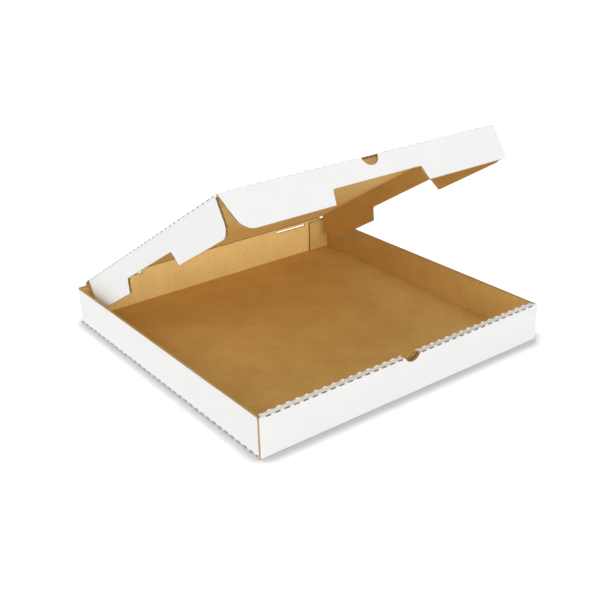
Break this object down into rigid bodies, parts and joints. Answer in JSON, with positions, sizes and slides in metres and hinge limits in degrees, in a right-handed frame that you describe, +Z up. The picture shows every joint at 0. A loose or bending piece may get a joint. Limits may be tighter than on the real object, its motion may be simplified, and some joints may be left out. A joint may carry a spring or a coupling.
{
  "type": "pizza box",
  "caption": "Square folding box of corrugated board with a hinged lid, three notched lid flaps, a rolled-over front wall with a thumb cut, and perforated folds.",
  "frame": {"origin": "middle of the underside of the tray", "axes": "+X to the right, +Y from the front wall to the lid's crease, +Z up"},
  "size_m": [0.406, 0.406, 0.2537],
  "materials": {
    "board": "uncoated, white outside and brown kraft inside"
  },
  "bodies": {
    "tray": {"tray": "board"},
    "lid": {"lid_panel": "board"},
    "front_flap": {"lid_front_flap": "board"},
    "left_flap": {"lid_left_flap": "board"},
    "right_flap": {"lid_right_flap": "board"}
  },
  "joints": [
    {"name": "lid_crease", "type": "hinge", "parent": "tray", "child": "lid", "pos_m": [0, 0.203, 0.052], "axis": [-1, 0, 0], "range_deg": [-31.3, 148.7]},
    {"name": "front_flap_fold", "type": "hinge", "parent": "lid", "child": "front_flap", "pos_m": [0, -0.12887, 0.25378], "axis": [-1, 0, 0], "range_deg": [-6, 84]},
    {"name": "left_flap_fold", "type": "hinge", "parent": "lid", "child": "left_flap", "pos_m": [-0.187, 0.20129, 0.04918], "axis": [0, -0.8545, 0.5195], "range_deg": [0, 85]},
    {"name": "right_flap_fold", "type": "hinge", "parent": "lid", "child": "right_flap", "pos_m": [0.187, 0.20129, 0.04918], "axis": [0, 0.8545, -0.5195], "range_deg": [0, 85]}
  ]
}
